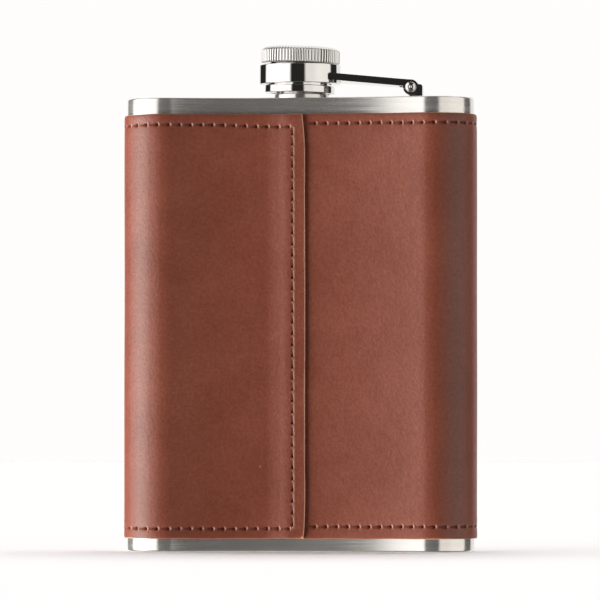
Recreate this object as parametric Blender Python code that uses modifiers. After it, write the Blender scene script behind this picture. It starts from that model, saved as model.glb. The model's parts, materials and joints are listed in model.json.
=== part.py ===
"""Stainless hip flask with a leather wrap and a captive screw cap on a hinged arm.

Metres, +Z up. X is the flask's width, Y its depth: the convex front faces +Y and the
concave back faces -Y. The base stands on z = 0, centred under the bounding box.
"""
import math

import bmesh
import bpy
from mathutils import Matrix, Vector

MM = 0.001

# Body section: a bent flat oval, a band of constant thickness with round ends.
BODY_HEIGHT = 123.2 * MM
HALF_THICKNESS = 11.0 * MM
END_X = 36.5 * MM
BEND_DEPTH = 4.0 * MM
SECTION_Y = 2.0 * MM
SHEET = 0.6 * MM
PLATE = 0.8 * MM
RIM_BEVEL = 0.25 * MM
FIT_GAP = 0.15 * MM
ARC_STEPS = 14
END_STEPS = 20

# Neck, with heights counted from the top plate.
TOP = BODY_HEIGHT
PLATE_HOLE_R = 6.0 * MM
SPIGOT_R = 5.75 * MM
SPIGOT_DROP = 1.3 * MM
BOSS_R = 7.43 * MM
BOSS_TOP = 1.45 * MM
THREAD_R = 6.2 * MM
THREAD_ROOT_R = 5.85 * MM
THREAD_PITCH = 2.0 * MM
NECK_TOP = 8.7 * MM
NECK_PLAIN = 0.6 * MM
NECK_BEVEL = 0.2 * MM
BORE_R = 5.0 * MM

# Screw cap, leaning a little in its collar.
CAP_X = -0.45 * MM
CAP_LEAN = math.radians(1.7)
LEAN_HEIGHT = 6.0 * MM
HEAD_R = 10.72 * MM
HEAD_BOTTOM = 9.8 * MM
HEAD_TOP = 14.3 * MM
HEAD_FLAT_R = 9.1 * MM
HEAD_CROWN_R = 9.75 * MM
HEAD_CROWN_DROP = 0.15 * MM
HEAD_SHOULDER_R = 10.2 * MM
HEAD_SHOULDER_DROP = 0.5 * MM
HEAD_FOOT = 0.3 * MM
KNURL_TOP = 13.45 * MM
KNURL_DEPTH = 0.32 * MM
KNURL_TEETH = 72
KNURL_REACH = 0.05 * MM
BARREL_R = 8.25 * MM
BARREL_BORE_R = 7.0 * MM
BARREL_BOTTOM = 1.9 * MM
BARREL_TOP = 11.0 * MM
BARREL_CEILING = 10.2 * MM
RING_R = 9.55 * MM
RING_BOTTOM = 1.75 * MM
RING_TOP = 3.8 * MM
RING_EDGE = 0.3 * MM
GASKET_R = 6.8 * MM
GASKET_THICKNESS = 0.9 * MM

# Captive collar and its arm.
COLLAR_R = 11.1 * MM
COLLAR_BORE_R = 8.7 * MM
COLLAR_BOTTOM = 4.25 * MM
COLLAR_TOP = 9.45 * MM
COLLAR_EDGE = 0.45 * MM
ARM_THICKNESS = 1.9 * MM
ARM_HALF_WIDTH = 4.6 * MM
ARM_STRAIGHT = 3.0 * MM
ARM_SLOPE = math.radians(4.9)
ARM_ROOT_ANGLE = math.radians(41.0)
ARM_GAP = 0.3 * MM
EYE_R = 2.1 * MM
EYE_STEP = 0.08 * MM
NOTCH_HALF = 2.45 * MM
NOTCH_LENGTH = 3.5 * MM
PIN_BORE_R = 0.8 * MM

# Hinge on the top plate: a lug between the arm's two eyes, with lengths from the pin's axis.
PIN_X = 30.3 * MM
PIN_Z = 3.05 * MM
PIN_R = 0.7 * MM
PIN_HEAD_R = 1.5 * MM
PIN_HEAD_HEIGHT = 1.1 * MM
LUG_HALF = 2.2 * MM
LUG_R = 1.9 * MM
LUG_LEFT = 0.2 * MM
LUG_RIGHT = 3.0 * MM
LUG_TURN = math.radians(235.0)
LUG_SHOULDER = 0.95 * MM
LUG_CORNER_R = 0.7 * MM
FOOT_HALF = 4.4 * MM
FOOT_THICKNESS = 0.5 * MM

# Leather wrap and what is under and in it, as offsets from the steel.
FILM_IN = 0.08 * MM
FILM_OUT = 0.18 * MM
WRAP_IN = 0.26 * MM
WRAP_OUT = 0.80 * MM
LAP_GAP = 0.08 * MM
LAP_LIFT = WRAP_OUT - WRAP_IN + LAP_GAP
WRAP_BOTTOM = 3.5 * MM
WRAP_TOP = 118.7 * MM
WRAP_EDGE_DEPTH = 0.3 * MM
WRAP_EDGE_HEIGHT = 0.5 * MM
LAP_EDGE_X = 2.2 * MM
HIDDEN_EDGE_X = -3.6 * MM
LIFT_START_X = -8.4 * MM
LIFT_END_X = -4.0 * MM
STITCH_INSET = 3.05 * MM
SEAM_X = -1.25 * MM
CHANNEL_DEPTH = 0.36 * MM
CHANNEL_HALF = 0.42 * MM
CHANNEL_SIDE = 0.12 * MM
THREAD_HALF = 0.15 * MM
THREAD_SEAT = 0.03 * MM
THREAD_MID = WRAP_OUT - CHANNEL_DEPTH + THREAD_SEAT + THREAD_HALF
THREAD_START_X = 2.8 * MM

BEND_R = (END_X ** 2 + BEND_DEPTH ** 2) / (2 * BEND_DEPTH)
BEND_ANGLE = math.asin(END_X / BEND_R)
BEND_CENTRE = Vector((0.0, SECTION_Y - BEND_R))

STEEL = ("steel", (0.62, 0.60, 0.58), 0.24, 1.0)
CHROME = ("chrome", (0.80, 0.80, 0.80), 0.06, 1.0)
LEATHER = ("leather", (0.20, 0.062, 0.040), 0.42, 0.0)
THREAD = ("thread", (0.085, 0.018, 0.012), 0.75, 0.0)
FILM = ("adhesive", (0.72, 0.66, 0.48), 0.55, 0.0)
SILICONE = ("silicone", (0.83, 0.82, 0.78), 0.50, 0.0)


# Scene helpers

def clear_scene():
    for obj in list(bpy.data.objects):
        bpy.data.objects.remove(obj, do_unlink=True)


def new_collection(name):
    collection = bpy.data.collections.new(name)
    bpy.context.scene.collection.children.link(collection)
    return collection


def material(look):
    name, colour, roughness, metallic = look
    found = bpy.data.materials.get(name)
    if found:
        return found
    made = bpy.data.materials.new(name)
    made.use_nodes = True
    shader = made.node_tree.nodes["Principled BSDF"]
    shader.inputs["Base Color"].default_value = (*colour, 1.0)
    shader.inputs["Roughness"].default_value = roughness
    shader.inputs["Metallic"].default_value = metallic
    return made


def place(obj, look, location=(0, 0, 0), parent=None):
    PARTS.objects.link(obj)
    obj.data.materials.append(material(look))
    obj.location = location
    obj.parent = parent
    return obj


def empty(name, location, parent=None):
    pivot = bpy.data.objects.new(name, None)
    pivot.empty_display_size = 0.01
    PARTS.objects.link(pivot)
    pivot.location = location
    pivot.parent = parent
    return pivot


def as_cutter(obj):
    CUTTERS.objects.link(obj)
    obj.display_type = "WIRE"
    obj.hide_render = True
    return obj


def boolean(obj, tool, operation):
    step = obj.modifiers.new(tool.name, "BOOLEAN")
    step.operation = operation
    step.object = tool
    step.solver = "EXACT"


def finish_mesh(obj, sharp_degrees=35.0):
    obj.data.shade_smooth()
    obj.data.set_sharp_from_angle(angle=math.radians(sharp_degrees))
    return obj


# Shape helpers

def mesh_object(name, bm):
    mesh = bpy.data.meshes.new(name)
    bm.to_mesh(mesh)
    bm.free()
    return bpy.data.objects.new(name, mesh)


def turned(name, profile, steps):
    """A body of revolution about Z from (radius, height) points, outer side top to bottom."""
    bm = bmesh.new()
    verts = [bm.verts.new((r, 0.0, z)) for r, z in profile]
    for upper, lower in zip(verts, verts[1:]):
        bm.edges.new((upper, lower))
    if profile[0][0] > 0:
        bm.edges.new((verts[-1], verts[0]))
    obj = mesh_object(name, bm)
    screw = obj.modifiers.new("turn", "SCREW")
    screw.steps = steps
    screw.render_steps = steps
    screw.use_merge_vertices = True
    screw.merge_threshold = 0.000005
    screw.use_smooth_shade = True
    return obj


def applied(obj):
    """The object with its modifiers and its placing made into plain mesh."""
    scene = bpy.context.scene
    scene.collection.objects.link(obj)
    bpy.context.view_layer.update()
    graph = bpy.context.evaluated_depsgraph_get()
    mesh = bpy.data.meshes.new_from_object(obj.evaluated_get(graph))
    mesh.transform(obj.matrix_world)
    name = obj.name
    bpy.data.objects.remove(obj, do_unlink=True)
    bm = bmesh.new()
    bm.from_mesh(mesh)
    bmesh.ops.remove_doubles(bm, verts=bm.verts, dist=0.000002)
    bmesh.ops.recalc_face_normals(bm, faces=bm.faces)
    bm.to_mesh(mesh)
    bm.free()
    return bpy.data.objects.new(name, mesh)


def flat_outline(name, loops, thickness):
    """A plate in XY, centred on z = 0, from an outer loop and any holes."""
    curve = bpy.data.curves.new(name, "CURVE")
    curve.dimensions = "2D"
    curve.fill_mode = "BOTH"
    curve.extrude = thickness / 2
    for loop in loops:
        spline = curve.splines.new("POLY")
        spline.points.add(len(loop) - 1)
        spline.use_cyclic_u = True
        for point, (x, y) in zip(spline.points, loop):
            point.co = (x, y, 0.0, 1.0)
    return bpy.data.objects.new(name, curve)


def circle(radius, steps, centre=(0.0, 0.0), start=0.0, end=2 * math.pi):
    whole = abs(end - start) >= 2 * math.pi
    count = steps if whole else steps + 1
    angles = [start + (end - start) * i / steps for i in range(count)]
    return [(centre[0] + radius * math.cos(a), centre[1] + radius * math.sin(a)) for a in angles]


def cylinder(name, radius, length, steps):
    """A cylinder along Y."""
    bm = bmesh.new()
    bmesh.ops.create_cone(bm, cap_ends=True, segments=steps, radius1=radius, radius2=radius, depth=length)
    bmesh.ops.rotate(bm, verts=bm.verts, matrix=Y_FROM_Z)
    return mesh_object(name, bm)


def box(name, low, high):
    bm = bmesh.new()
    bmesh.ops.create_cube(bm, size=1.0)
    size = Vector(high) - Vector(low)
    bmesh.ops.scale(bm, vec=size, verts=bm.verts)
    bmesh.ops.translate(bm, vec=(Vector(high) + Vector(low)) / 2, verts=bm.verts)
    return mesh_object(name, bm)


# The body section: stations are (point on the steel's outer face, outward direction)

def back_station(angle):
    away = Vector((math.sin(angle), math.cos(angle)))
    return BEND_CENTRE + away * (BEND_R - HALF_THICKNESS), -away


def front_station(angle):
    away = Vector((math.sin(angle), math.cos(angle)))
    return BEND_CENTRE + away * (BEND_R + HALF_THICKNESS), away


def end_station(side, turn):
    """Round an end: turn runs from 0 at the back to pi at the front."""
    spine = Vector((math.sin(side * BEND_ANGLE), math.cos(side * BEND_ANGLE)))
    across = Vector((side * spine.y, -side * spine.x))
    away = -spine * math.cos(turn) + across * math.sin(turn)
    return BEND_CENTRE + spine * BEND_R + away * HALF_THICKNESS, away


def back_angle(x):
    return math.asin(x / (BEND_R - HALF_THICKNESS))


def spread(start, end, steps):
    return [start + (end - start) * i / steps for i in range(steps + 1)]


def round_trip():
    """Right end, front and left end, from the back's right corner to its left corner."""
    turns = spread(0.0, math.pi, END_STEPS)
    right = [end_station(1, turn) for turn in turns]
    front = [front_station(angle) for angle in spread(BEND_ANGLE, -BEND_ANGLE, ARC_STEPS)[1:-1]]
    left = [end_station(-1, turn) for turn in reversed(turns)]
    return right + front + left


def whole_section():
    back = [back_station(angle) for angle in spread(-BEND_ANGLE, BEND_ANGLE, ARC_STEPS)[1:-1]]
    return back + round_trip()


def outline(offset):
    return [tuple(point + away * offset) for point, away in whole_section()]


def sweep(name, stations, sections):
    """A closed body from one closed (offset, height) section at each station."""
    bm = bmesh.new()
    rings = []
    for (point, away), section in zip(stations, sections):
        spots = [point + away * offset for offset, _ in section]
        rings.append([bm.verts.new((spot.x, spot.y, z)) for spot, (_, z) in zip(spots, section)])
    count = len(rings[0])
    closed = stations[0] is stations[-1]
    if closed:
        rings[-1] = rings[0]
    for ring, following in zip(rings, rings[1:]):
        for i in range(count):
            j = (i + 1) % count
            bm.faces.new((ring[i], ring[j], following[j], following[i]))
    if not closed:
        bm.faces.new(rings[0])
        bm.faces.new(rings[-1])
    loose = [v for v in bm.verts if not v.link_faces]
    bmesh.ops.delete(bm, geom=loose, context="VERTS")
    bmesh.ops.recalc_face_normals(bm, faces=bm.faces)
    return mesh_object(name, bm)


# Steel vessel

def body_shell():
    section = [(-SHEET, 0.0), (-RIM_BEVEL, 0.0), (0.0, RIM_BEVEL),
               (0.0, TOP - RIM_BEVEL), (-RIM_BEVEL, TOP), (-SHEET, TOP)]
    stations = whole_section()
    stations.append(stations[0])
    obj = sweep("body_shell", stations, [section] * len(stations))
    return place(finish_mesh(obj), STEEL)


def top_plate():
    hole = circle(PLATE_HOLE_R, 48, centre=(0.0, SECTION_Y))
    obj = flat_outline("top_plate", [outline(-SHEET - FIT_GAP), hole], PLATE)
    return place(finish_mesh(applied(obj)), STEEL, location=(0, 0, TOP - PLATE / 2))


def bottom_plate():
    obj = flat_outline("bottom_plate", [outline(-SHEET - FIT_GAP)], PLATE)
    return place(finish_mesh(applied(obj)), STEEL, location=(0, 0, PLATE / 2))


def thread_profile():
    """Crests and roots of the neck's thread, top to bottom."""
    points = []
    z = NECK_TOP - NECK_PLAIN
    while z - THREAD_PITCH > BOSS_TOP:
        points.append((THREAD_ROOT_R, z))
        points.append((THREAD_R, z - 0.3 * THREAD_PITCH))
        points.append((THREAD_R, z - 0.5 * THREAD_PITCH))
        points.append((THREAD_ROOT_R, z - 0.8 * THREAD_PITCH))
        z -= THREAD_PITCH
    return points


def neck():
    lip = [(BORE_R, NECK_TOP), (THREAD_ROOT_R - NECK_BEVEL, NECK_TOP),
           (THREAD_ROOT_R, NECK_TOP - NECK_BEVEL)]
    boss = [(THREAD_ROOT_R, BOSS_TOP), (BOSS_R - NECK_BEVEL, BOSS_TOP), (BOSS_R, BOSS_TOP - NECK_BEVEL),
            (BOSS_R, FIT_GAP), (SPIGOT_R, FIT_GAP), (SPIGOT_R, -SPIGOT_DROP), (BORE_R, -SPIGOT_DROP)]
    obj = turned("neck", lip + thread_profile() + boss, 48)
    return place(finish_mesh(applied(obj)), STEEL, location=(0, SECTION_Y, TOP))


# Screw cap

def knurl(obj):
    """Press straight teeth into the head's rim by pulling in every second column."""
    for vert in obj.data.vertices:
        radius = math.hypot(vert.co.x, vert.co.y)
        column = round(math.atan2(vert.co.y, vert.co.x) * KNURL_TEETH / math.pi)
        if radius > HEAD_R - KNURL_REACH and column % 2:
            scale = (HEAD_R - KNURL_DEPTH) / radius
            vert.co.x *= scale
            vert.co.y *= scale


def cap_head():
    socket_r = BARREL_R + FIT_GAP
    socket_top = BARREL_TOP + FIT_GAP
    profile = [(0.0, HEAD_TOP), (HEAD_FLAT_R, HEAD_TOP), (HEAD_CROWN_R, HEAD_TOP - HEAD_CROWN_DROP),
               (HEAD_SHOULDER_R, HEAD_TOP - HEAD_SHOULDER_DROP), (HEAD_R, KNURL_TOP),
               (HEAD_R, HEAD_BOTTOM + HEAD_FOOT), (HEAD_SHOULDER_R, HEAD_BOTTOM), (socket_r, HEAD_BOTTOM),
               (socket_r, socket_top), (0.0, socket_top)]
    obj = applied(turned("cap_head", profile, 2 * KNURL_TEETH))
    knurl(obj)
    return place(finish_mesh(obj, 25.0), CHROME, (0, 0, -LEAN_HEIGHT), CAP_AXIS)


def cap_barrel():
    profile = [(0.0, BARREL_TOP), (BARREL_R, BARREL_TOP), (BARREL_R, BARREL_BOTTOM),
               (BARREL_BORE_R, BARREL_BOTTOM), (BARREL_BORE_R, BARREL_CEILING), (0.0, BARREL_CEILING)]
    obj = turned("cap_barrel", profile, 48)
    return place(finish_mesh(applied(obj)), CHROME, (0, 0, -LEAN_HEIGHT), CAP_AXIS)


def cap_retaining_ring():
    inner = BARREL_R + FIT_GAP
    profile = [(inner, RING_TOP), (RING_R - RING_EDGE, RING_TOP), (RING_R, RING_TOP - RING_EDGE),
               (RING_R, RING_BOTTOM + RING_EDGE), (RING_R - RING_EDGE, RING_BOTTOM), (inner, RING_BOTTOM)]
    obj = turned("cap_retaining_ring", profile, 64)
    return place(finish_mesh(applied(obj)), CHROME, (0, 0, -LEAN_HEIGHT), CAP_AXIS)


def cap_gasket():
    top = BARREL_CEILING - FIT_GAP
    bottom = top - GASKET_THICKNESS
    profile = [(0.0, top), (GASKET_R, top), (GASKET_R, bottom), (0.0, bottom)]
    obj = turned("cap_gasket", profile, 32)
    return place(finish_mesh(applied(obj)), SILICONE, (0, 0, -LEAN_HEIGHT), CAP_AXIS)


# Captive collar and arm

def collar_ring():
    edge = COLLAR_EDGE
    top = COLLAR_TOP
    bottom = COLLAR_BOTTOM
    profile = [(COLLAR_BORE_R + edge / 2, top), (COLLAR_R - edge, top),
               (COLLAR_R - edge / 3, top - edge / 3), (COLLAR_R, top - edge),
               (COLLAR_R, bottom + edge), (COLLAR_R - edge / 3, bottom + edge / 3),
               (COLLAR_R - edge, bottom), (COLLAR_BORE_R + edge / 2, bottom),
               (COLLAR_BORE_R, bottom + edge / 2), (COLLAR_BORE_R, top - edge / 2)]
    obj = turned("collar_ring", profile, 64)
    return place(finish_mesh(applied(obj)), CHROME, (CAP_X - PIN_X, 0, -PIN_Z), ARM_PIVOT)


def arm_plan():
    """The arm seen from above, from its eyes at x = 0 to the hollow that meets the collar."""
    middle = (CAP_X - PIN_X, 0.0)
    root = circle(COLLAR_R + ARM_GAP, 12, centre=middle, start=-ARM_ROOT_ANGLE, end=ARM_ROOT_ANGLE)
    upper = [(-ARM_STRAIGHT, ARM_HALF_WIDTH), (0.0, ARM_HALF_WIDTH)]
    lower = [(0.0, -ARM_HALF_WIDTH), (-ARM_STRAIGHT, -ARM_HALF_WIDTH)]
    return root + upper + lower


def collar_arm():
    strip = flat_outline("collar_arm", [arm_plan()], ARM_THICKNESS)
    strip.location.z = EYE_R - EYE_STEP - ARM_THICKNESS / 2
    obj = place(applied(strip), CHROME, (0, 0, 0), ARM_PIVOT)
    obj.rotation_euler.y = ARM_SLOPE
    eye = cylinder("arm_eye", EYE_R, 2 * (ARM_HALF_WIDTH - EYE_STEP), 32)
    reach = 2 * EYE_R
    notch = box("arm_notch", (-NOTCH_LENGTH, -NOTCH_HALF, -reach), (reach, NOTCH_HALF, reach))
    bore = cylinder("arm_bore", PIN_BORE_R, 4 * ARM_HALF_WIDTH, 16)
    for tool, operation in ((eye, "UNION"), (notch, "DIFFERENCE"), (bore, "DIFFERENCE")):
        as_cutter(tool)
        tool.parent = obj
        boolean(obj, tool, operation)
    return finish_mesh(obj)


# Hinge

def lug_outline():
    """The bracket's lug in XZ about the pin's axis: round over the pin, with a square heel."""
    low = FIT_GAP - PIN_Z
    r = LUG_CORNER_R
    start = math.asin(LUG_SHOULDER / LUG_R)
    corner = circle(r, 5, centre=(LUG_RIGHT - r, LUG_SHOULDER - r), start=0.0, end=math.pi / 2)
    crown = circle(LUG_R, 18, start=start, end=LUG_TURN)
    return [(LUG_LEFT, low), (LUG_RIGHT, low)] + corner + crown


def hinge_bracket():
    blank = flat_outline("hinge_bracket", [lug_outline()], 2 * LUG_HALF)
    blank.rotation_euler.x = math.pi / 2
    obj = place(applied(blank), CHROME, (PIN_X, SECTION_Y, TOP + PIN_Z))
    low = FIT_GAP - PIN_Z
    inset = EYE_STEP
    foot = box("bracket_foot", (LUG_LEFT - inset, -FOOT_HALF, low - inset / 2),
               (LUG_RIGHT + inset, FOOT_HALF, low + FOOT_THICKNESS))
    bore = cylinder("bracket_bore", PIN_BORE_R, 4 * LUG_HALF, 16)
    for tool, operation in ((foot, "UNION"), (bore, "DIFFERENCE")):
        as_cutter(tool)
        tool.parent = obj
        boolean(obj, tool, operation)
    return finish_mesh(obj)


def hinge_pin():
    seat = ARM_HALF_WIDTH + FIT_GAP
    arcs = spread(0.0, math.pi / 2, 6)
    dome = [(PIN_HEAD_R * math.sin(a), seat + PIN_HEAD_HEIGHT * math.cos(a)) for a in arcs]
    upper = dome + [(PIN_R, seat)]
    lower = [(r, -z) for r, z in reversed(upper)]
    obj = applied(turned("hinge_pin", upper + lower, 24))
    obj.data.transform(Y_FROM_Z.to_4x4())
    return place(finish_mesh(obj), CHROME, (PIN_X, SECTION_Y, TOP + PIN_Z))


# Leather wrap

def lift_at(x):
    """How far the top layer stands off at a place near the lap."""
    t = min(max((x - LIFT_START_X) / (LIFT_END_X - LIFT_START_X), 0.0), 1.0)
    return LAP_LIFT * t * t * (3 - 2 * t)


def lap_stations():
    """The layer on top, from the back's left corner to the lap's cut edge."""
    flat = spread(-END_X, LIFT_START_X, 6)[1:]
    rise = spread(LIFT_START_X, LIFT_END_X, 5)[1:]
    groove = [SEAM_X + step for step in groove_steps()]
    return flat + rise + groove + [LAP_EDGE_X]


def groove_steps():
    outer = CHANNEL_HALF + CHANNEL_SIDE
    return [-outer, -CHANNEL_HALF, CHANNEL_HALF, outer]


def wrap_section(base, sunk):
    """One cross-section of the leather, with a sewn channel near each edge."""
    face = base + WRAP_OUT - (CHANNEL_DEPTH if sunk else 0.0)
    floor = base + WRAP_OUT - CHANNEL_DEPTH
    edge = base + WRAP_OUT - WRAP_EDGE_DEPTH
    rows = [(edge, WRAP_BOTTOM), (face, WRAP_BOTTOM + WRAP_EDGE_HEIGHT)]
    for height in (WRAP_BOTTOM + STITCH_INSET, WRAP_TOP - STITCH_INSET):
        depths = [face, floor, floor, face]
        rows += [(depth, height + step) for depth, step in zip(depths, groove_steps())]
    rows += [(face, WRAP_TOP - WRAP_EDGE_HEIGHT), (edge, WRAP_TOP)]
    return rows + [(base + WRAP_IN, WRAP_TOP), (base + WRAP_IN, WRAP_BOTTOM)]


def leather_wrap():
    start = [back_station(back_angle(x)) for x in spread(HIDDEN_EDGE_X, END_X, 8)[:-1]]
    lap_xs = lap_stations()
    lap = [back_station(back_angle(x)) for x in lap_xs]
    stations = start + round_trip() + lap
    sections = [wrap_section(0.0, False)] * (len(start) + len(round_trip()))
    for x in lap_xs:
        sections.append(wrap_section(lift_at(x), abs(x - SEAM_X) < CHANNEL_HALF + CHANNEL_SIDE / 2))
    return place(finish_mesh(sweep("leather_wrap", stations, sections)), LEATHER)


def wrap_adhesive():
    """The film that bonds the leather's under layer to the steel, up to where the lap lifts."""
    section = [(FILM_OUT, WRAP_BOTTOM), (FILM_OUT, WRAP_TOP), (FILM_IN, WRAP_TOP), (FILM_IN, WRAP_BOTTOM)]
    start = [back_station(back_angle(x)) for x in spread(HIDDEN_EDGE_X, END_X, 8)[:-1]]
    stop = [back_station(back_angle(x)) for x in spread(-END_X, LIFT_START_X, 6)[1:]]
    stations = start + round_trip() + stop
    return place(finish_mesh(sweep("wrap_adhesive", stations, [section] * len(stations))), FILM)


def edge_stitching(name, height):
    """One sewn line round the wrap, lying in its channel."""
    stop_x = SEAM_X - CHANNEL_HALF
    start = [back_station(back_angle(x)) for x in spread(THREAD_START_X, END_X, 7)[:-1]]
    lap_xs = [x for x in lap_stations() if x < stop_x - CHANNEL_SIDE / 2] + [stop_x]
    bases = [0.0] * (len(start) + len(round_trip())) + [lift_at(x) for x in lap_xs]
    stations = start + round_trip() + [back_station(back_angle(x)) for x in lap_xs]
    sections = []
    for base in bases:
        low = base + THREAD_MID - THREAD_HALF
        high = base + THREAD_MID + THREAD_HALF
        sections.append([(high, height - THREAD_HALF), (high, height + THREAD_HALF),
                         (low, height + THREAD_HALF), (low, height - THREAD_HALF)])
    return place(finish_mesh(sweep(name, stations, sections)), THREAD)


def seam_stitching():
    """The sewn line down the lap, from the top line to the bottom one."""
    mid = LAP_LIFT + THREAD_MID
    stations = [back_station(back_angle(SEAM_X + side * THREAD_HALF)) for side in (-1, 1)]
    low = WRAP_BOTTOM + STITCH_INSET - THREAD_HALF
    high = WRAP_TOP - STITCH_INSET + THREAD_HALF
    section = [(mid + THREAD_HALF, low), (mid + THREAD_HALF, high),
               (mid - THREAD_HALF, high), (mid - THREAD_HALF, low)]
    return place(finish_mesh(sweep("seam_stitching", stations, [section] * 2)), THREAD)


def build():
    body_shell()
    top_plate()
    bottom_plate()
    neck()
    cap_head()
    cap_barrel()
    cap_retaining_ring()
    cap_gasket()
    collar_ring()
    collar_arm()
    hinge_bracket()
    hinge_pin()
    leather_wrap()
    wrap_adhesive()
    edge_stitching("top_stitching", WRAP_TOP - STITCH_INSET)
    edge_stitching("bottom_stitching", WRAP_BOTTOM + STITCH_INSET)
    seam_stitching()


clear_scene()
PARTS = new_collection("hip_flask")
CUTTERS = new_collection("cutters")
Y_FROM_Z = Matrix.Rotation(math.pi / 2, 3, "X")
ARM_PIVOT = empty("arm_pivot", (PIN_X, SECTION_Y, TOP + PIN_Z))
CAP_AXIS = empty("cap_axis", (CAP_X - PIN_X, 0.0, LEAN_HEIGHT - PIN_Z), ARM_PIVOT)
CAP_AXIS.rotation_euler.y = CAP_LEAN
build()
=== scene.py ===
import json
import math

import bmesh
import bpy
import numpy as np
from mathutils import Matrix, Vector


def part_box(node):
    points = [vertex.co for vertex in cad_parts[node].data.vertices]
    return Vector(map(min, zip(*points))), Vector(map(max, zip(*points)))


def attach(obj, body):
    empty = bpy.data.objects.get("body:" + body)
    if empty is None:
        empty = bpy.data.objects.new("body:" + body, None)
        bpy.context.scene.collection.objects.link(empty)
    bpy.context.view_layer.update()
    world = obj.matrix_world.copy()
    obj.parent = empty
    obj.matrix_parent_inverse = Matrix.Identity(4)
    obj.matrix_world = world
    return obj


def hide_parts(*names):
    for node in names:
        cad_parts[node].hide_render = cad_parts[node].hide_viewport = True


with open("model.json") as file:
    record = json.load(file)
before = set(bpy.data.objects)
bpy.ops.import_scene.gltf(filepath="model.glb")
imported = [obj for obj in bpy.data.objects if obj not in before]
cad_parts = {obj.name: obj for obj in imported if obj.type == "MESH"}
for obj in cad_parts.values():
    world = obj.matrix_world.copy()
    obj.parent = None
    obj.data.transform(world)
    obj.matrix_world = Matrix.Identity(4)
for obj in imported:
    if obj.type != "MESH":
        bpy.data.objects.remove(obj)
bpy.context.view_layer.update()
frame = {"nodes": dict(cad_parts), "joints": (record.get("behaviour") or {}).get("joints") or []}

MM = 0.001

# -------------------- sizes from the frame
SHELL_LOW, SHELL_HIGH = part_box("body_shell")
WRAP_LOW, WRAP_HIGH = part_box("leather_wrap")
NECK_LOW, NECK_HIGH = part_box("neck")
PIN_TIP_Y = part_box("hinge_pin")[1].y
JOINTS = {joint["name"]: joint for joint in frame["joints"]}
PIN_AXIS = Vector(JOINTS["arm_swing"]["pos_m"])
CAP_CENTRE = Vector(JOINTS["cap_turn"]["pos_m"])
CAP_DIRECTION = Vector(JOINTS["cap_turn"]["axis"])

TOP = SHELL_HIGH.z
BEND_DEPTH = 4.0 * MM
HALF_THICKNESS = (SHELL_HIGH.y - SHELL_LOW.y - BEND_DEPTH) / 2
END_X = (SHELL_HIGH.x - SHELL_LOW.x) / 2 - HALF_THICKNESS
SECTION_Y = SHELL_HIGH.y - HALF_THICKNESS
BEND_R = (END_X ** 2 + BEND_DEPTH ** 2) / (2 * BEND_DEPTH)
BEND_ANGLE = math.asin(END_X / BEND_R)
SHEET = 0.6 * MM
RIM_R = 0.46 * MM

# Lengths round the section: half the back, an end, the front, an end, half the back.
BACK_R = BEND_R - HALF_THICKNESS
FRONT_R = BEND_R + HALF_THICKNESS
HALF_BACK = BACK_R * BEND_ANGLE
END_ARC = math.pi * HALF_THICKNESS
FRONT_ARC = 2 * FRONT_R * BEND_ANGLE
GIRTH = 2 * HALF_BACK + 2 * END_ARC + FRONT_ARC

# Leather and its sewing. A phase is a share of one stitch, from its near hole to the next one's.
WRAP_BOTTOM = WRAP_LOW.z
WRAP_TOP = WRAP_HIGH.z
WRAP_IN = 0.26 * MM
WRAP_OUT = 0.80 * MM
LAP_LIFT = 0.62 * MM
LAP_SWELL = 0.20 * MM
HIDDEN_EDGE_X = -3.6 * MM
LIFT_START_X = -8.6 * MM
LIFT_END_X = -2.3 * MM
LAP_EDGE_X = 2.2 * MM
SEAM_X = -1.25 * MM
LINE_START_X = 2.9 * MM
STITCH_INSET = 3.05 * MM
TOP_LINE = WRAP_TOP - STITCH_INSET
BOTTOM_LINE = WRAP_BOTTOM + STITCH_INSET
PITCH = 3.0 * MM
ROW_BED = 0.27 * MM
SEAM_BED = 0.19 * MM
BED_DEPTH = 0.17 * MM
NEAR_PHASE = 0.08
NEAR_DEPTH = 0.12 * MM
HOLE_PHASE = 0.67
HOLE_DEPTH = 0.46 * MM
RIDGE_PHASE = 0.86
RIDGE_HEIGHT = 0.20 * MM
ROW_FURROW = 0.10 * MM
SEAM_FURROW = 0.02 * MM
THREAD_R = 0.17 * MM
THREAD_SUNK = 0.14 * MM
THREAD_DIVE = 0.34 * MM
PLY_TWIST = 11.0

# Neck and cap, with radii from their axes and heights from the top plate.
NECK_R = 6.2 * MM
NECK_ROOT_R = 5.8 * MM
NECK_BORE_R = 5.0 * MM
SPIGOT_R = 5.75 * MM
SPIGOT_BOTTOM = -1.25 * MM
PLATE_GAP = 0.02 * MM
BOSS_R = (NECK_HIGH.x - NECK_LOW.x) / 2
BOSS_TOP = 1.45 * MM
NECK_TOP = NECK_HIGH.z - TOP
THREAD_PITCH = 2.0 * MM
LEAN_HEIGHT = CAP_CENTRE.z - TOP
HEAD_R = 10.72 * MM
HEAD_BOTTOM = 9.8 * MM
HEAD_TOP = 14.3 * MM
TEETH = 72
TOOTH_DEPTH = 0.26 * MM
BARREL_R = 8.25 * MM
BARREL_BORE_R = 7.0 * MM
BARREL_BOTTOM = 1.9 * MM
BARREL_TOP = 11.0 * MM
BARREL_CEILING = 10.2 * MM
BARREL_RIDGE = 0.13 * MM
SOCKET_R = BARREL_R + 0.12 * MM
RING_R = 9.55 * MM
RING_BOTTOM = 1.75 * MM
RING_TOP = 3.8 * MM
GASKET_R = 6.8 * MM
GASKET_THICKNESS = 0.9 * MM
COLLAR_R = 11.1 * MM
COLLAR_BORE_R = 8.7 * MM
COLLAR_BOTTOM = 4.25 * MM
COLLAR_TOP = 9.45 * MM

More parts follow.
